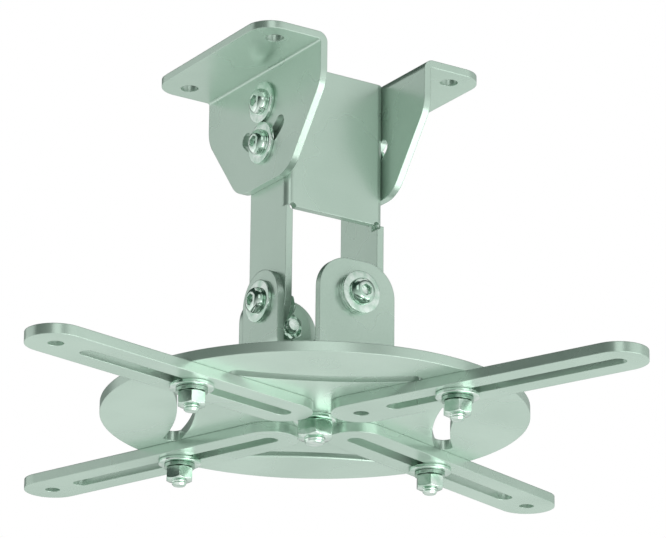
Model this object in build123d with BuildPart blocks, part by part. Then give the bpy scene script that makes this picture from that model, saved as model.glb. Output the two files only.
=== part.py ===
import os
from math import cos, radians, sin
from build123d import *

os.makedirs("parts", exist_ok=True)

# driving sizes, in millimetres
sheet = 3.0
seat_gap = 0.05
hole_gap = 0.06
bolt_r = 3.0
head_r = 5.25
head_h = 3.3
crown_share = 0.52
rim_share = 0.12
bulge_out = 0.32
bulge_up = 0.72
socket_r = 2.3
socket_depth = 2.0
nut_flats = 10.0
nut_h = 5.0
washer_r = 8.4
washer_t = 1.5
spring_r = 6.0
spring_t = 1.6
spring_slit = 1.0
thread_end = 2.2

yoke_width = 45.0
yoke_depth = 26.0
yoke_bend = 3.3
yoke_bend_inner = 0.6
yoke_top = -2.5
web_bottom = -61.5
notch_r = 1.5

bracket_length = 82.0
bracket_drop = 50.0
bracket_reach = 29.5
bracket_straight = 20.0
bracket_foot = 36.0
bracket_round = 14.0
flange_round = 10.0
bend_r = 4.0
bend_inner = 1.0
ceiling_hole_r = 3.5
ceiling_hole_x = 40.5
ceiling_hole_y = 31.5
pivot_z = -16.0
lock_radius = 17.0
lock_swing = 45.0

gimbal_z = -98.0
side_ear = 25.0
gimbal_floor = 21.0
front_span = 52.0
front_ear = 34.0
front_ear_rise = 13.5
front_ear_round = 12.9
saddle_drop = 38.2

disc_r = 82.5
disc_t = 4.0
disc_turn = -28.4
slot_w = 7.0
slot_radius = 49.5
slot_bow = 150.0
slot_swing = 12.5
rim_margin = 12.5

arm_w = 23.0
arm_t = 4.0
arm_pitch = 114.0
arm_hole_r = 3.0
arm_slot_w = 6.6
arm_slot_start = 15.7
arm_angles = {"a": 192.0, "b": 108.0, "c": 19.0, "d": 291.3}
arm_inner = {"a": 47.0, "b": 46.0, "c": 48.0, "d": 44.0}
arm_reversed = "d"
bolt_steps = {"a": 225.0, "b": 135.0, "c": 45.0, "d": 315.0}

centre_r = 4.0
centre_head_r = 7.0
centre_head_h = 4.4
centre_socket_r = 2.9
centre_flats = 13.0
centre_nut_h = 6.5
centre_washer_r = 8.4
centre_washer_t = 1.6

# sizes worked out from the ones above
half_yoke = yoke_width / 2
leg_inner = half_yoke - sheet
plate_in = half_yoke + seat_gap
plate_out = plate_in + sheet
lock_z = pivot_z - lock_radius
side_out = plate_in + sheet
gimbal_base = gimbal_z - gimbal_floor
front_in = front_span / 2
front_out = front_in + seat_gap + sheet
saddle_z = gimbal_z - saddle_drop
disc_top = saddle_z - seat_gap
disc_z = disc_top - disc_t
arm_top = disc_z - seat_gap
arm_z = arm_top - arm_t
leg_end = yoke_depth / 2
arm_bolt_radius = disc_r - rim_margin
side_grip = sheet * 2 + seat_gap
inner_stack = washer_t + nut_h + thread_end


def hexagon_r(flats):
    return flats / 2 / cos(radians(30))


def side_planes(distance):
    # planes that look outward on the left and on the right
    left = Plane(origin=(-distance, 0, 0), x_dir=(0, -1, 0), z_dir=(-1, 0, 0))
    right = Plane(origin=(distance, 0, 0), x_dir=(0, 1, 0), z_dir=(1, 0, 0))
    return [left, right]


def end_planes(distance):
    # planes that look outward at the front and at the back
    front = Plane(origin=(0, -distance, 0), x_dir=(1, 0, 0), z_dir=(0, -1, 0))
    back = Plane(origin=(0, distance, 0), x_dir=(-1, 0, 0), z_dir=(0, 1, 0))
    return [front, back]


def raised(plane, height):
    # the same plane with its centre at another height
    spot = Vector(plane.origin.X, plane.origin.Y, height)
    return Plane(origin=spot, x_dir=plane.x_dir, z_dir=plane.z_dir)


def domed_head(seat, radius, height):
    # half section of the head turned about the bolt's axis
    crown = radius * crown_share
    rim = height * rim_share
    mid = (radius - (radius - crown) * bulge_out, rim + (height - rim) * bulge_up)
    section = Plane(origin=seat.origin, x_dir=seat.x_dir, z_dir=seat.y_dir * -1)
    with BuildSketch(section) as half:
        with BuildLine():
            Polyline((crown, height), (0, height), (0, 0), (radius, 0), (radius, rim))
            ThreePointArc((radius, rim), mid, (crown, height))
        make_face()
    revolve(half.sketch, axis=Axis(seat.origin, seat.z_dir))


def button_bolt(seat, shank):
    # domed head above the seat, hexagon socket, shank below it
    with BuildSketch(seat) as shaft:
        Circle(bolt_r)
    extrude(shaft.sketch, amount=-shank)
    domed_head(seat, head_r, head_h)
    with BuildSketch(seat.offset(head_h)) as socket:
        RegularPolygon(socket_r, 6)
    extrude(socket.sketch, amount=-socket_depth, mode=Mode.SUBTRACT)


def ring(seat, outer, inner, thickness):
    with BuildSketch(seat) as flat:
        Circle(outer)
        Circle(inner, mode=Mode.SUBTRACT)
    extrude(flat.sketch, amount=thickness)


def hex_nut(seat, flats, hole, height):
    with BuildSketch(seat) as flat:
        RegularPolygon(hexagon_r(flats), 6)
        Circle(hole, mode=Mode.SUBTRACT)
    extrude(flat.sketch, amount=height)


def finish(part, name):
    part.part.label = name
    export_step(part.part, f"parts/{name}.step")


# centre lines of the curved slots
lock_arc = CenterArc((0, 0), lock_radius, 270 - lock_swing, 2 * lock_swing)
slot_arc = CenterArc((0, 0), slot_bow, 180 - slot_swing, 2 * slot_swing)

# ceiling brackets
for side, turn in (("left", -1), ("right", 1)):
    with BuildPart() as bracket:
        with BuildSketch(Plane.XZ.offset(-bracket_length / 2)):
            with BuildLine():
                a = (turn * plate_in, 0)
                b = (turn * (plate_in + bracket_reach), 0)
                c = (turn * (plate_in + bracket_reach), -sheet)
                d = (turn * plate_out, -sheet)
                e = (turn * plate_out, -bracket_drop)
                g = (turn * plate_in, -bracket_drop)
                Polyline(a, b, c, d, e, g, close=True)
            make_face()
        extrude(amount=bracket_length)
        bend = edges().filter_by(Axis.Y)
        fillet(bend.sort_by_distance((turn * plate_in, 0, 0))[0], bend_r)
        bend = edges().filter_by(Axis.Y)
        fillet(bend.sort_by_distance((turn * plate_out, 0, -sheet))[0], bend_inner)
        tips = edges().filter_by(Axis.Z).group_by(Axis.X)[0 if turn < 0 else -1]
        fillet(tips, flange_round)
        with BuildSketch(Plane.YZ):
            with BuildLine():
                half = bracket_length / 2
                foot = bracket_foot / 2
                top_left = (-half, 0)
                top_right = (half, 0)
                side_right = (half, -bracket_straight)
                foot_right = (foot, -bracket_drop)
                foot_left = (-foot, -bracket_drop)
                side_left = (-half, -bracket_straight)
                Polyline(top_left, top_right, side_right, foot_right, foot_left, side_left, close=True)
            make_face()
            fillet(vertices().group_by(Axis.Y)[0], bracket_round)
            fillet(vertices().filter_by(lambda v: abs(v.Y + bracket_straight) < sheet), bracket_round)
        extrude(amount=plate_in + bracket_reach, both=True, mode=Mode.INTERSECT)
        with BuildSketch(Plane.XY):
            with Locations((turn * ceiling_hole_x, ceiling_hole_y), (turn * ceiling_hole_x, -ceiling_hole_y)):
                Circle(ceiling_hole_r)
        extrude(amount=-sheet, mode=Mode.SUBTRACT)
        seat = side_planes(plate_out)[0 if turn < 0 else 1]
        with BuildSketch(raised(seat, pivot_z)):
            Circle(bolt_r + hole_gap / 2)
        extrude(amount=-sheet, mode=Mode.SUBTRACT)
        with BuildSketch(raised(seat, pivot_z)):
            SlotArc(lock_arc, 2 * (bolt_r + hole_gap) + 2 * seat_gap)
        extrude(amount=-sheet, mode=Mode.SUBTRACT)
    finish(bracket, f"ceiling_bracket_{side}")

# yoke
with BuildPart() as yoke:
    with BuildSketch(Plane.XY.offset(web_bottom)):
        Rectangle(yoke_width, yoke_depth)
        with Locations((0, sheet)):
            Rectangle(yoke_width - 2 * sheet, yoke_depth, mode=Mode.SUBTRACT)
        front = vertices().filter_by(lambda v: abs(abs(v.X) - half_yoke) < seat_gap).group_by(Axis.Y)[0]
        fillet(front, yoke_bend)
        inside = vertices().filter_by(lambda v: abs(abs(v.X) - leg_inner) < seat_gap).group_by(Axis.Y)[0]
        fillet(inside, yoke_bend_inner)
    extrude(amount=yoke_top - web_bottom)
    for plane in side_planes(half_yoke):
        with BuildSketch(plane):
            with Locations((0, (gimbal_z + web_bottom) / 2)):
                Rectangle(yoke_depth, web_bottom - gimbal_z)
            with Locations((0, gimbal_z)):
                Circle(leg_end)
        extrude(amount=-sheet)
        with BuildSketch(plane):
            with Locations((0, pivot_z)):
                Circle(bolt_r + hole_gap)
            with Locations((0, lock_z)):
                Circle(bolt_r + hole_gap / 2)
            with Locations((0, gimbal_z)):
                Circle(bolt_r + hole_gap / 2)
        extrude(amount=-sheet, mode=Mode.SUBTRACT)
    with BuildSketch(Plane.XZ.offset(yoke_depth / 2)):
        with Locations((leg_inner, web_bottom), (-leg_inner, web_bottom)):
            Circle(notch_r)
    extrude(amount=-bend_r, mode=Mode.SUBTRACT)
finish(yoke, "yoke")

# gimbal bracket with its side ears and its front and back ears
with BuildPart() as side_frame:
    with BuildSketch(Plane.XZ.offset(-side_ear / 2)):
        with Locations((0, gimbal_base + (gimbal_floor + leg_end) / 2)):
            Rectangle(2 * side_out, gimbal_floor + leg_end)
        with Locations((0, gimbal_base + sheet + (gimbal_floor + leg_end) / 2)):
            Rectangle(2 * plate_in, gimbal_floor + leg_end, mode=Mode.SUBTRACT)
        fillet(vertices().group_by(Axis.Y)[0], bend_r)
    extrude(amount=side_ear)
    with BuildSketch(Plane.YZ):
        with Locations((0, gimbal_base + gimbal_floor / 2)):
            Rectangle(side_ear, gimbal_floor)
        with Locations((0, gimbal_z)):
            Circle(side_ear / 2)
    extrude(amount=side_out, both=True, mode=Mode.INTERSECT)

with BuildPart() as end_frame:
    with BuildSketch(Plane.YZ.offset(-side_ear / 2)):
        with Locations((0, gimbal_base + (gimbal_floor + leg_end) / 2)):
            Rectangle(front_span, gimbal_floor + leg_end)
        with Locations((0, gimbal_base + sheet + (gimbal_floor + leg_end) / 2)):
            Rectangle(front_span - 2 * sheet, gimbal_floor + leg_end, mode=Mode.SUBTRACT)
        fillet(vertices().group_by(Axis.Y)[0], bend_r)
    extrude(amount=side_ear)
    with BuildSketch(Plane.XZ):
        with Locations((0, gimbal_base + gimbal_floor / 2)):
            Rectangle(side_ear, gimbal_floor)
        with Locations((0, gimbal_z)):
            Circle(side_ear / 2)
    extrude(amount=front_in, both=True, mode=Mode.INTERSECT)

with BuildPart() as gimbal:
    add(side_frame.part)
    add(end_frame.part)
    for plane in side_planes(side_out):
        with BuildSketch(raised(plane, gimbal_z)):
            Circle(bolt_r + hole_gap)
        extrude(amount=-sheet, mode=Mode.SUBTRACT)
    for plane in end_planes(front_in):
        with BuildSketch(raised(plane, gimbal_z)):
            Circle(bolt_r + hole_gap / 2)
        extrude(amount=-sheet, mode=Mode.SUBTRACT)
finish(gimbal, "gimbal_bracket")

# lower bracket, wide ears at the front and the back
saddle_top = saddle_z + sheet
ear_top = gimbal_z + front_ear_rise
with BuildPart() as saddle:
    with BuildSketch(Plane.YZ.offset(-front_ear / 2)):
        with Locations((0, (saddle_z + ear_top) / 2)):
            Rectangle(2 * front_out, ear_top - saddle_z)
        with Locations((0, (saddle_top + ear_top + sheet) / 2)):
            Rectangle(2 * (front_in + seat_gap), ear_top + sheet - saddle_top, mode=Mode.SUBTRACT)
        fillet(vertices().group_by(Axis.Y)[0], bend_r)
    extrude(amount=front_ear)
    with BuildSketch(Plane.XZ):
        with Locations((0, (saddle_z + ear_top) / 2)):
            Rectangle(front_ear, ear_top - saddle_z)
        fillet(vertices().group_by(Axis.Y)[-1], front_ear_round)
    extrude(amount=front_out, both=True, mode=Mode.INTERSECT)
    for plane in end_planes(front_out):
        with BuildSketch(raised(plane, gimbal_z)):
            Circle(bolt_r + hole_gap)
        extrude(amount=-sheet, mode=Mode.SUBTRACT)
    with BuildSketch(Plane.XY.offset(saddle_z)):
        Circle(centre_r + hole_gap / 2)
    extrude(amount=sheet, mode=Mode.SUBTRACT)
finish(saddle, "lower_bracket")

# swivel disc with four bowed slots
with BuildPart() as disc:
    with BuildSketch(Plane.XY.offset(disc_z)):
        Circle(disc_r)
        Circle(centre_r + hole_gap, mode=Mode.SUBTRACT)
        with PolarLocations(arm_bolt_radius, 4, start_angle=disc_turn + 45):
            Circle(bolt_r + hole_gap, mode=Mode.SUBTRACT)
        with PolarLocations(slot_radius + slot_bow, 4, start_angle=disc_turn):
            SlotArc(slot_arc, slot_w, mode=Mode.SUBTRACT)
    extrude(amount=disc_t)
    fillet(edges().filter_by(GeomType.CIRCLE).sort_by(SortBy.RADIUS)[-2:], sheet / 4)
finish(disc, "swivel_disc")

# arms, each with a slot and one projector hole
for letter, angle in arm_angles.items():
    spoke = radians(disc_turn + bolt_steps[letter])
    spot = (arm_bolt_radius * cos(spoke), arm_bolt_radius * sin(spoke))
    along = (cos(radians(angle)), sin(radians(angle)), 0)
    bed = Plane(origin=(spot[0], spot[1], arm_top), x_dir=along, z_dir=(0, 0, 1))
    inner = -arm_inner[letter]
    outer = inner + arm_pitch
    hole_x = inner if letter == arm_reversed else outer
    slot_far = outer if letter == arm_reversed else inner
    step = arm_slot_start if letter == arm_reversed else -arm_slot_start
    slot_mid = (hole_x + step + slot_far) / 2
    with BuildPart() as arm:
        with BuildSketch(bed):
            with Locations(((inner + outer) / 2, 0)):
                SlotCenterToCenter(arm_pitch, arm_w)
            with Locations((slot_mid, 0)):
                SlotCenterToCenter(arm_pitch - arm_slot_start, arm_slot_w, mode=Mode.SUBTRACT)
            with Locations((hole_x, 0)):
                Circle(arm_hole_r, mode=Mode.SUBTRACT)
        extrude(amount=-arm_t)
    finish(arm, f"arm_{letter}")

    above = Plane(origin=(spot[0], spot[1], disc_top), x_dir=along, z_dir=(0, 0, 1))
    below = Plane(origin=(spot[0], spot[1], arm_z), x_dir=along, z_dir=(0, 0, -1))
    with BuildPart() as bolt:
        button_bolt(above, disc_top - arm_z + inner_stack + spring_t)
    finish(bolt, f"arm_bolt_{letter}")
    with BuildPart() as washer:
        ring(below, washer_r, bolt_r, washer_t)
    finish(washer, f"arm_washer_{letter}")
    with BuildPart() as spring:
        ring(below.offset(washer_t), spring_r, bolt_r, spring_t)
        with BuildSketch(below.offset(washer_t)):
            with Locations((spring_r - spring_slit, 0)):
                Rectangle(2 * spring_slit + bolt_r, spring_slit)
        extrude(amount=spring_t, mode=Mode.SUBTRACT)
    finish(spring, f"arm_lock_washer_{letter}")
    with BuildPart() as nut:
        hex_nut(below.offset(washer_t + spring_t), nut_flats, bolt_r, nut_h)
    finish(nut, f"arm_nut_{letter}")

# side bolts: tilt pivot, tilt lock and lower pitch pivot
for name, height in (("tilt_pivot", pivot_z), ("tilt_lock", lock_z), ("pitch", gimbal_z)):
    with BuildPart() as bolts:
        for plane in side_planes(plate_out + washer_t):
            button_bolt(raised(plane, height), washer_t + side_grip + inner_stack)
    finish(bolts, f"{name}_bolts")
    with BuildPart() as washers:
        for plane in side_planes(plate_out):
            ring(raised(plane, height), washer_r - seat_gap, bolt_r, washer_t)
        for plane in side_planes(leg_inner):
            ring(raised(plane, height), washer_r - seat_gap, bolt_r, -washer_t)
    finish(washers, f"{name}_washers")
    with BuildPart() as nuts:
        for plane in side_planes(leg_inner - washer_t):
            hex_nut(raised(plane, height), nut_flats, bolt_r, -nut_h)
    finish(nuts, f"{name}_nuts")

# front and back bolts of the lower roll pivot
with BuildPart() as bolts:
    for plane in end_planes(front_out + washer_t + spring_t):
        button_bolt(raised(plane, gimbal_z), washer_t + spring_t + side_grip + nut_h + thread_end)
finish(bolts, "roll_bolts")
with BuildPart() as washers:
    for plane in end_planes(front_out):
        ring(raised(plane, gimbal_z), washer_r, bolt_r, washer_t)
finish(washers, "roll_washers")
with BuildPart() as springs:
    for plane in end_planes(front_out + washer_t):
        ring(raised(plane, gimbal_z), washer_r, bolt_r, spring_t)
finish(springs, "roll_cover_washers")
with BuildPart() as nuts:
    for plane in end_planes(front_in - sheet):
        hex_nut(raised(plane, gimbal_z), nut_flats, bolt_r, -nut_h)
finish(nuts, "roll_nuts")

# centre bolt through the lower bracket and the disc
with BuildPart() as centre:
    domed_head(Plane.XY.offset(saddle_top), centre_head_r, centre_head_h)
    with BuildSketch(Plane.XY.offset(saddle_top + centre_head_h)):
        RegularPolygon(centre_socket_r, 6)
    extrude(amount=-socket_depth, mode=Mode.SUBTRACT)
    with BuildSketch(Plane.XY.offset(saddle_top)):
        Circle(centre_r)
    extrude(amount=-(saddle_top - disc_z + centre_washer_t + centre_nut_h + thread_end))
finish(centre, "centre_bolt")
with BuildPart() as washer:
    ring(Plane.XY.offset(disc_z - centre_washer_t - seat_gap), centre_washer_r, centre_r, centre_washer_t)
finish(washer, "centre_washer")
with BuildPart() as nut:
    nut_seat = disc_z - centre_washer_t - seat_gap - centre_nut_h
    hex_nut(Plane.XY.offset(nut_seat), centre_flats, centre_r, centre_nut_h)
finish(nut, "centre_nut")
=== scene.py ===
import math

import bpy
import numpy as np
from mathutils import Matrix, Vector


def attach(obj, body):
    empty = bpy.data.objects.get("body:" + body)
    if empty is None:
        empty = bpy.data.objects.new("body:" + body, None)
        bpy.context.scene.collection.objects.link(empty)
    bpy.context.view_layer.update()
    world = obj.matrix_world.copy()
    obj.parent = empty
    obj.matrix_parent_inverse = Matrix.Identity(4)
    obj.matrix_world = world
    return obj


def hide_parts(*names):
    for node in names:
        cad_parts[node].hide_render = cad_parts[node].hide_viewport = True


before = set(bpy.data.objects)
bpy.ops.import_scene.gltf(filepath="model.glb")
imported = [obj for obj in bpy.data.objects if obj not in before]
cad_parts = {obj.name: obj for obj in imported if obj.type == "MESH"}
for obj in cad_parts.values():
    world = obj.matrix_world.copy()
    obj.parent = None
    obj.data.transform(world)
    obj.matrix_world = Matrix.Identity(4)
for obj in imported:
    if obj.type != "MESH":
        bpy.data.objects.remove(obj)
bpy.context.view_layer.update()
print("frame loaded")

mm = 0.001
turn = 2.0 * math.pi


# colours and material nodes

def linearColour(hexText):
    # each sRGB channel c becomes c/12.92, or ((c + 0.055)/1.055)^2.4 above 0.04045
    text = hexText.lstrip("#")
    channels = [int(text[i:i + 2], 16) / 255 for i in (0, 2, 4)]
    linear = [c / 12.92 if c <= 0.04045 else ((c + 0.055) / 1.055) ** 2.4 for c in channels]
    return (*linear, 1.0)


def node(material, kind, settings=None, values=None, links=None):
    # adds one node, sets its properties and inputs, and links its inputs from other nodes' outputs
    tree = material.node_tree
    made = tree.nodes.new(kind)
    for name, value in (settings or {}).items():
        setattr(made, name, value)
    for name, value in (values or {}).items():
        made.inputs[name].default_value = value
    for name, (source, output) in (links or {}).items():
        tree.links.new(source.outputs[output], made.inputs[name])
    return made


def newMaterial(name):
    material = bpy.data.materials.new(name)
    material.use_nodes = True
    material.node_tree.nodes.clear()
    return material


def noise(material, place, size, detail=1.0):
    # noise whose features are about as large as the size, in millimetres
    return node(material, "ShaderNodeTexNoise", values={"Scale": 1 / (size * mm), "Detail": detail},
                links={"Vector": (place, "Object")})


def ramp(material, source, output, stops):
    # colour ramp between two stops, each a position and an sRGB colour
    made = node(material, "ShaderNodeValToRGB", links={"Fac": (source, output)})
    for element, (position, colour) in zip(made.color_ramp.elements, stops):
        element.position = position
        element.color = linearColour(colour)
    return made


def varied(material, source, span):
    # the middle of a noise, stretched over the span of values
    return node(material, "ShaderNodeMapRange", values={"From Min": 0.3, "From Max": 0.7,
                "To Min": span[0], "To Max": span[1]}, links={"Value": (source, "Fac")})


def finish(material, metallic, colour, gloss, bump):
    shader = node(material, "ShaderNodeBsdfPrincipled", values={"Metallic": metallic},
                  links={"Base Color": (colour, "Color"), "Roughness": (gloss, "Result"),
                         "Normal": (bump, "Normal")})
    node(material, "ShaderNodeOutputMaterial", links={"Surface": (shader, "BSDF")})


silverPaint = {
    "light": "#C8DBCF",
    "dark": "#B8CDC0",
    "metallic": 0.7,
    "roughness": (0.23, 0.32),
    "blotch": 45,  # mm, slow drift of the coat
    "orangePeel": 2.2,  # mm between the ripples of the sprayed coat
    "peelDepth": 0.05,  # mm
    "flake": 0.45,  # mm, the flakes are far finer and are drawn this coarse to show
    "flakeShare": 0.35,  # part of the flakes in the tone, beside the drift
    "edge": 0.45,  # mm, radius of the deburred sheet edges
}


def makeSilverPaint(s):
    # semi-gloss silver paint sprayed on folded sheet: soft mirror images, fine flakes, a slight ripple
    m = newMaterial("Semi-gloss silver paint on sheet steel")
    place = node(m, "ShaderNodeTexCoord")
    blotch = noise(m, place, s["blotch"], 3.0)
    flakes = noise(m, place, s["flake"])
    blend = node(m, "ShaderNodeMath", {"operation": "MULTIPLY_ADD"}, {1: s["flakeShare"]},
                 {0: (flakes, "Fac"), 2: (blotch, "Fac")})
    colour = ramp(m, blend, "Value", ((0.45, s["dark"]), (0.85, s["light"])))
    ripple = noise(m, place, s["orangePeel"])
    gloss = varied(m, blotch, s["roughness"])
    rounded = node(m, "ShaderNodeBevel", {"samples": 6}, {"Radius": s["edge"] * mm})
    bump = node(m, "ShaderNodeBump", values={"Strength": 0.05, "Distance": s["peelDepth"] * mm},
                links={"Height": (ripple, "Fac"), "Normal": (rounded, "Normal")})
    finish(m, s["metallic"], colour, gloss, bump)
    return m


brightZinc = {
    "light": "#E9F3ED",
    "dark": "#BFDACA",
    "roughness": (0.07, 0.21),
    "cast": 4,  # mm, patches of the passivation's green cast
    "grain": 0.3,  # mm, turning marks
    "grainDepth": 0.02,  # mm
    "edge": 0.2,  # mm
}
springZinc = {**brightZinc, "light": "#B9CCC0", "dark": "#7FA08D", "roughness": (0.22, 0.36)}


def makeZinc(name, s):
    # clear-passivated zinc plate: a bright mirror with a cool green cast and faint turning marks
    m = newMaterial(name)
    place = node(m, "ShaderNodeTexCoord")
    cast = noise(m, place, s["cast"], 2.0)
    colour = ramp(m, cast, "Fac", ((0.35, s["dark"]), (0.65, s["light"])))
    marks = noise(m, place, s["grain"])
    gloss = varied(m, marks, s["roughness"])
    rounded = node(m, "ShaderNodeBevel", {"samples": 4}, {"Radius": s["edge"] * mm})
    bump = node(m, "ShaderNodeBump", values={"Strength": 0.12, "Distance": s["grainDepth"] * mm},
                links={"Height": (marks, "Fac"), "Normal": (rounded, "Normal")})
    finish(m, 1.0, colour, gloss, bump)
    return m


paintMaterial = makeSilverPaint(silverPaint)
zincMaterial = makeZinc("Bright zinc plate on steel", brightZinc)
springMaterial = makeZinc("Dulled zinc on spring steel", springZinc)
print("materials made")


# the folded sheet pieces keep their solids and take the paint

sheetNodes = ["ceiling_bracket_left", "ceiling_bracket_right", "yoke", "gimbal_bracket", "lower_bracket",
              "swivel_disc", "arm_a", "arm_b", "arm_c", "arm_d"]
for name in sheetNodes:
    piece = bpy.data.objects[name]
    piece.data.materials.clear()
    piece.data.materials.append(paintMaterial)
print("sheet pieces painted")


# turned and hexagonal surfaces

def hexFactor(angles):
    # ratio of a hexagon's radius at each angle to its inscribed circle: 1 / cos(angle from the nearest flat)
    flat = (angles + turn / 12) % (turn / 6) - turn / 12
    return 1.0 / np.cos(flat)


def column(values):
    return np.array(values, float)[:, None]


def turnedSurface(radii, heights, around):
    # grid of rings: point (i, j) is at radius radii[i, j], height heights[i, j], angle j of a full turn
    angles = np.linspace(0, turn, around, endpoint=False)
    x = radii * np.cos(angles)
    y = radii * np.sin(angles)
    return np.stack([x, y, np.broadcast_to(heights, x.shape)], axis=-1)


def gridFaces(rows, around, closed=False):
    # quads between neighbouring rings, the last ring joined to the first where the profile closes
    last = rows if closed else rows - 1
    i, j = np.meshgrid(np.arange(last), np.arange(around), indexing="ij")
    nextI = (i + 1) % rows
    nextJ = (j + 1) % around
    quads = [i * around + j, i * around + nextJ, nextI * around + nextJ, nextI * around + j]
    return np.stack(quads, axis=-1).reshape(-1, 4)


def sited(points, origin, axis):
    # turns local +Z to the axis and moves the centre to the origin, both in millimetres, then to metres
    axis = np.array(axis, float)
    helper = np.array([0, 0, 1.0]) if abs(axis[2]) < 0.9 else np.array([1.0, 0, 0])
    across = np.cross(helper, axis)
    across /= np.linalg.norm(across)
    other = np.cross(axis, across)
    basis = np.stack([across, other, axis])
    return (points.reshape(-1, 3) @ basis + np.array(origin, float)) * mm


sharpAngle = math.radians(32)


def addPiece(name, shells, material, body, replaced):
    # joins several closed shells, given as (points, quads, end faces), into one object
    points, faces, count = [], [], 0
    for shellPoints, quads, ends in shells:
        points.append(shellPoints)
        faces.extend((quads + count).tolist())
        faces.extend([[int(v) + count for v in ring] for ring in ends])
        count += len(shellPoints)
    mesh = bpy.data.meshes.new(name)
    mesh.from_pydata(np.concatenate(points).tolist(), [], faces)
    mesh.polygons.foreach_set("use_smooth", [True] * len(mesh.polygons))
    mesh.validate()
    piece = bpy.data.objects.new(name, mesh)
    bpy.context.scene.collection.objects.link(piece)
    mesh.set_sharp_from_angle(angle=sharpAngle)
    mesh.materials.append(material)
    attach(piece, body)
    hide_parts(replaced)


def cappedShell(radii, heights, around, origin, axis):
    # a turned surface whose first and last rings are closed by flat caps, outward for rising rings
    points = sited(turnedSurface(radii, heights, around), origin, axis)
    rows = radii.shape[0]
    bottom = np.arange(around)[::-1]
    top = np.arange(around) + (rows - 1) * around
    return points, gridFaces(rows, around), [bottom, top]


def ringShell(radii, heights, around, origin, axis):
    # a turned surface whose profile closes on itself, such as a washer or a nut
    points = sited(turnedSurface(radii, heights, around), origin, axis)
    return points, gridFaces(radii.shape[0], around, closed=True), []


bolt = {
    "shank": 3.0, "head": 5.25, "rise": 3.3, "socketFlats": 4.0, "socketDepth": 2.0,
    "pitch": 1.0, "depth": 0.32, "threaded": 12.0, "around": 72,
    "ringsPerPitch": 8,
    "play": 0.02,  # taken off the shank's radius, inside the solid's
    "plain": 1.0,  # least length without thread, under the head
    "fade": 0.8,  # length over which the thread comes and goes
    "point": 0.7,  # chamfer of the end
    "rim": 0.45,  # height of the head's upright rim
    "crownTop": 2.75,  # radius where the dome meets the flat round the socket
    "crownReach": 0.93,  # part of a quarter ellipse that the dome follows
    "crownRings": 14,
    "lip": 0.15,  # chamfer of the socket's mouth
    "drill": (0.5, 0.35),  # radius and depth of the cone at the socket's bottom
}


def threadRings(s, length, angles):
    # radius falls by depth * triangle(height / pitch - angle / turn), fading at both ends
    stop = min(s["threaded"], length - s["plain"])
    rings = int(stop / s["pitch"] * s["ringsPerPitch"]) + 1
    z = column(np.linspace(-length, -length + stop, rings))
    wave = np.abs(((z / s["pitch"] - angles / turn) % 1.0) * 2 - 1)
    fade = np.clip((z + length) / s["fade"], 0, 1) * np.clip((-length + stop - z) / s["fade"], 0, 1)
    chamfer = np.clip(s["point"] - (z + length), 0, s["point"])
    radii = s["shank"] - s["depth"] * wave * fade - chamfer - s["play"]
    return radii, np.broadcast_to(z, radii.shape)


def boltShell(s, length, origin, axis):
    # thread and shank, then the flat seat, the domed head as part of an ellipse, and the hexagon socket
    around = s["around"]
    angles = np.linspace(0, turn, around, endpoint=False)[None, :]
    threadR, threadZ = threadRings(s, length, angles)
    radii, heights = [threadR], [threadZ]
    plain = np.ones((1, around))

    def rings(rs, zs, factor=plain):
        radii.append(column(rs) * factor)
        heights.append(np.broadcast_to(column(zs), (len(rs), around)))

    rings([s["shank"] - s["play"], s["head"] - 0.25, s["head"] - 0.05], [0.0, 0.0, 0.1])
    reach = s["crownReach"] * math.pi / 2
    crown = np.linspace(0.0, reach, s["crownRings"])
    inward = (1 - np.cos(crown)) / (1 - math.cos(reach))
    upward = np.sin(crown) / math.sin(reach)
    rings(s["head"] - (s["head"] - s["crownTop"]) * inward, s["rim"] + (s["rise"] - s["rim"]) * upward)
    inner = s["socketFlats"] / 2
    six = hexFactor(angles)
    floor = s["rise"] - s["socketDepth"]
    rings([inner + s["lip"]], [s["rise"]], six)
    rings([inner, inner, inner - 0.05], [s["rise"] - s["lip"], floor + 0.1, floor], six)
    rings([s["drill"][0]], [floor - s["drill"][1]])
    return cappedShell(np.concatenate(radii), np.concatenate(heights), around, origin, axis)


def washerShell(inner, outer, thick, origin, axis, soft=0.25, around=96):
    # flat ring with its four edges rounded off by a quarter of a circle in three steps
    q = np.linspace(0, math.pi / 2, 4)
    outward, inward = soft * np.sin(q), soft * np.cos(q)
    r = np.concatenate([outer - soft + outward, outer - soft + inward,
                        inner + soft - outward, inner + soft - inward])
    z = np.concatenate([soft - inward, thick - soft + outward, thick - soft + inward, soft - outward])
    radii = np.repeat(r[:, None], around, axis=1)
    return ringShell(radii, np.repeat(z[:, None], around, axis=1), around, origin, axis)


nut = {"coneHeights": (0, 0.15, 0.3, 0.45, 0.6, 0.8), "coneStart": 0.97, "coneSlope": math.sqrt(3),
       "rows": 5, "countersink": 0.5, "around": 144}


def nutShell(flats, hole, high, origin, axis):
    # hexagon whose corners are cut by a 30 degree cone at both ends: radius = the smaller of the two
    angles = np.linspace(0, turn, nut["around"], endpoint=False)[None, :]
    half = flats / 2
    cut = column(nut["coneHeights"])
    upright = np.linspace(cut[-1, 0], high - cut[-1, 0], nut["rows"])[1:-1]
    z = np.concatenate([cut, column(upright), high - cut[::-1]])
    cone = half * nut["coneStart"] + np.minimum(z, high - z) * nut["coneSlope"]
    outer = np.minimum(half * hexFactor(angles), cone)
    sink = nut["countersink"]
    holeR = column([hole + sink, hole, hole, hole + sink]) * np.ones_like(angles)
    holeZ = column([high, high - sink, sink, 0.0]) * np.ones_like(angles)
    radii = np.concatenate([outer, holeR])
    heights = np.concatenate([np.broadcast_to(z, outer.shape), holeZ])
    return ringShell(radii, heights, nut["around"], origin, axis)


spring = {"slit": 0.12, "lift": 0.14, "inset": 0.12, "around": 90}  # slit in radians, the rest in mm


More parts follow.
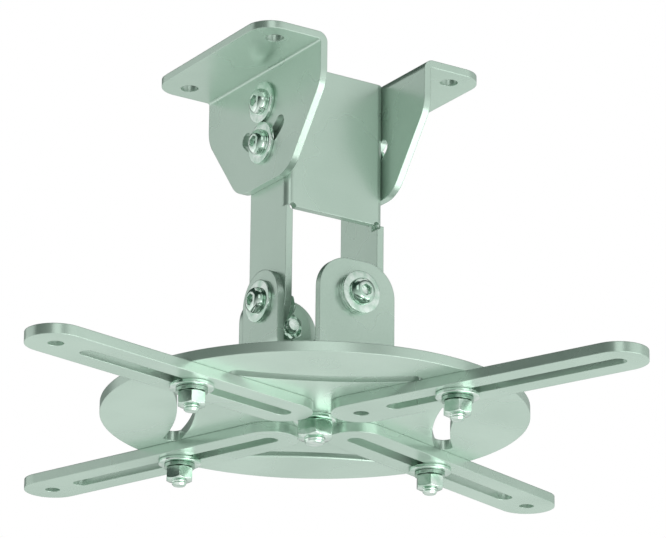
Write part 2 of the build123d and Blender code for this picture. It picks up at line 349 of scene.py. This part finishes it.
def splitShell(inner, outer, thick, origin, axis):
    # spring washer: a square section carried round a full turn less a slit, rising a little to its end
    around, inset = spring["around"], spring["inset"]
    angles = column(np.linspace(spring["slit"], turn - spring["slit"], around))
    lift = spring["lift"] * (angles / turn - 0.5)
    r = np.array([inner, outer, outer, inner])[None, :]
    z = np.array([inset, inset, thick - inset, thick - inset])[None, :] + lift
    points = np.stack([r * np.cos(angles), r * np.sin(angles), z], axis=-1)
    i, j = np.meshgrid(np.arange(around - 1), np.arange(4), indexing="ij")
    nextJ = (j + 1) % 4
    quads = np.stack([i * 4 + j, i * 4 + nextJ, (i + 1) * 4 + nextJ, (i + 1) * 4 + j], axis=-1)
    ends = [np.array([0, 3, 2, 1]), np.array([0, 1, 2, 3]) + (around - 1) * 4]
    return sited(points, origin, axis), quads.reshape(-1, 4)[:, ::-1], ends


# hardware of the four arms

down, up = (0, 0, -1), (0, 0, 1)
arms = {
    "discTurn": -28.4, "circle": 70.0, "step": {"a": 225, "b": 135, "c": 45, "d": 315},
    "discTop": -136.22, "under": -144.35, "shank": 18.43,
    "washer": (3.02, 8.4, 1.5),  # hole radius, outer radius, thickness
    "spring": (3.05, 6.0, 1.6),
    "nut": (10.0, 2.75, 5.0),  # flats, hole radius, height
}
for letter, step in arms["step"].items():
    angle = math.radians(arms["discTurn"] + step)
    x, y = arms["circle"] * math.cos(angle), arms["circle"] * math.sin(angle)
    body = f"clamp_{letter}"
    z = arms["under"]
    addPiece(f"fine_arm_bolt_{letter}", [boltShell(bolt, arms["shank"], (x, y, arms["discTop"]), up)],
             zincMaterial, body, f"arm_bolt_{letter}")
    addPiece(f"fine_arm_washer_{letter}", [washerShell(*arms["washer"], (x, y, z), down)],
             zincMaterial, body, f"arm_washer_{letter}")
    z -= arms["washer"][2]
    addPiece(f"fine_arm_lock_washer_{letter}", [splitShell(*arms["spring"], (x, y, z), down)],
             springMaterial, body, f"arm_lock_washer_{letter}")
    z -= arms["spring"][2]
    addPiece(f"fine_arm_nut_{letter}", [nutShell(*arms["nut"], (x, y, z), down)],
             zincMaterial, body, f"arm_nut_{letter}")
print("arm hardware made")


# side hardware: tilt pivot, tilt lock and pitch pivot

sides = {
    "sites": (("tilt_pivot", -16.0, "ceiling"), ("tilt_lock", -33.0, "yoke"), ("pitch", -98.0, "yoke")),
    "outer": 25.55, "inner": 19.5, "shank": 16.25, "washer": (3.02, 8.35, 1.5), "nut": (10.0, 2.75, 5.0),
}
for name, z, body in sides["sites"]:
    bolts, washers, nuts = [], [], []
    thick = sides["washer"][2]
    for way in (-1, 1):
        out, back = (way, 0, 0), (-way, 0, 0)
        bolts.append(boltShell(bolt, sides["shank"], (way * (sides["outer"] + thick), 0, z), out))
        washers.append(washerShell(*sides["washer"], (way * sides["outer"], 0, z), out))
        washers.append(washerShell(*sides["washer"], (way * sides["inner"], 0, z), back))
        nuts.append(nutShell(*sides["nut"], (way * (sides["inner"] - thick), 0, z), back))
    addPiece(f"fine_{name}_bolts", bolts, zincMaterial, body, f"{name}_bolts")
    addPiece(f"fine_{name}_washers", washers, zincMaterial, body, f"{name}_washers")
    addPiece(f"fine_{name}_nuts", nuts, zincMaterial, body, f"{name}_nuts")
print("side hardware made")


# front and back hardware of the roll pivot

ends = {
    "height": -98.0, "outer": 29.05, "inner": 23.0, "shank": 16.35,
    "washer": (3.02, 8.4, 1.5), "cover": (3.02, 8.4, 1.6), "nut": (10.0, 2.75, 5.0),
}
bolts, washers, covers, nuts = [], [], [], []
for way in (-1, 1):
    out, back = (0, way, 0), (0, -way, 0)
    y = ends["outer"]
    washers.append(washerShell(*ends["washer"], (0, way * y, ends["height"]), out))
    y += ends["washer"][2]
    covers.append(washerShell(*ends["cover"], (0, way * y, ends["height"]), out))
    y += ends["cover"][2]
    bolts.append(boltShell(bolt, ends["shank"], (0, way * y, ends["height"]), out))
    nuts.append(nutShell(*ends["nut"], (0, way * ends["inner"], ends["height"]), back))
addPiece("fine_roll_bolts", bolts, zincMaterial, "gimbal", "roll_bolts")
addPiece("fine_roll_washers", washers, zincMaterial, "gimbal", "roll_washers")
addPiece("fine_roll_cover_washers", covers, zincMaterial, "gimbal", "roll_cover_washers")
addPiece("fine_roll_nuts", nuts, zincMaterial, "gimbal", "roll_nuts")
print("roll hardware made")


# centre bolt, washer and nut

centre = {
    "seat": -133.2, "disc": -140.3, "shank": 17.35, "washer": (4.02, 8.4, 1.6), "nut": (13.0, 3.7, 6.5),
    "bolt": {**bolt, "shank": 4.0, "head": 7.0, "rise": 4.4, "socketFlats": 5.0, "socketDepth": 2.6,
             "pitch": 1.25},
}
nutTop = centre["disc"] - centre["washer"][2]
addPiece("fine_centre_bolt", [boltShell(centre["bolt"], centre["shank"], (0, 0, centre["seat"]), up)],
         zincMaterial, "lower", "centre_bolt")
addPiece("fine_centre_washer", [washerShell(*centre["washer"], (0, 0, centre["disc"]), down)],
         zincMaterial, "lower", "centre_washer")
addPiece("fine_centre_nut", [nutShell(*centre["nut"], (0, 0, nutTop), down)],
         zincMaterial, "lower", "centre_nut")
print("centre hardware made")


# world: a smooth sky, dark at one side, that the camera sees as plain white

sky = {"light": "#F6FBF8", "shade": "#2E4038", "strength": 0.93, "brightWay": (0.3, -0.2, -0.93)}
world = bpy.data.worlds.new("studio")
bpy.context.scene.world = world
world.use_nodes = True
world.node_tree.nodes.clear()
place = node(world, "ShaderNodeTexCoord")
along = node(world, "ShaderNodeVectorMath", {"operation": "DOT_PRODUCT"}, {1: sky["brightWay"]},
             {0: (place, "Generated")})
facing = node(world, "ShaderNodeMapRange", values={"From Min": -1.0, "From Max": 1.0},
              links={"Value": (along, "Value")})
fall = ramp(world, facing, "Result", ((0.2, sky["shade"]), (0.75, sky["light"])))
soft = node(world, "ShaderNodeBackground", values={"Strength": sky["strength"]},
            links={"Color": (fall, "Color")})
white = node(world, "ShaderNodeBackground", values={"Color": (1, 1, 1, 1), "Strength": 1.0})
path = node(world, "ShaderNodeLightPath")
shown = node(world, "ShaderNodeMixShader",
             links={0: (path, "Is Camera Ray"), 1: (soft, "Background"), 2: (white, "Background")})
node(world, "ShaderNodeOutputWorld", links={"Surface": (shown, "Shader")})


# lamps, each given by its spot, its size in metres and its power in watts

def softbox(name, spot, aim, size, watts):
    # square area lamp at the spot, turned so that it shines at the aim point
    data = bpy.data.lights.new(name, "AREA")
    data.size = size
    data.energy = watts
    lamp = bpy.data.objects.new(name, data)
    lamp.location = spot
    lamp.rotation_euler = (Vector(aim) - Vector(spot)).to_track_quat("-Z", "Y").to_euler()
    bpy.context.scene.collection.objects.link(lamp)


middle = (0, 0, -0.09)
lamps = {
    "key": ((-1.5, 1.7, 0.0), 2.4, 13.0),
    "low": ((0.6, -1.2, -1.3), 2.0, 20.0),
    "front": ((1.1, -1.7, 0.6), 1.8, 3.4),
    "side": ((-1.0, -1.8, 0.65), 1.1, 3.5),
    "top": ((0.3, 0.2, 2.2), 2.5, 14.0),
}
for name, (spot, size, watts) in lamps.items():
    softbox(name, spot, middle, size, watts)


# camera, looking up at the photograph's angle

view = {
    "spot": (-0.790262, -1.234195, -0.594228),
    "azimuth": 32.88,
    "rise": 19.35,
    "roll": -0.6,
    "pixels": 4000.0,  # focal length in the photograph's pixels
    "wide": 666.0,  # the photograph's width in pixels
    "sensor": 36.0,
}
a, e, r = (math.radians(view[key]) for key in ("azimuth", "rise", "roll"))
forward = Vector((math.sin(a) * math.cos(e), math.cos(a) * math.cos(e), math.sin(e)))
level = Vector((math.cos(a), -math.sin(a), 0))
upward = level.cross(forward)
right = level * math.cos(r) - upward * math.sin(r)
above = level * math.sin(r) + upward * math.cos(r)
cameraData = bpy.data.cameras.new("camera")
cameraData.sensor_width = view["sensor"]
cameraData.lens = view["sensor"] * view["pixels"] / view["wide"]
camera = bpy.data.objects.new("camera", cameraData)
bpy.context.scene.collection.objects.link(camera)
axes = Matrix((right, above, -forward)).transposed().to_4x4()
camera.matrix_world = Matrix.Translation(view["spot"]) @ axes
bpy.context.scene.camera = camera
bpy.context.scene.view_settings.view_transform = "Standard"
print("sky, lamps and camera set")
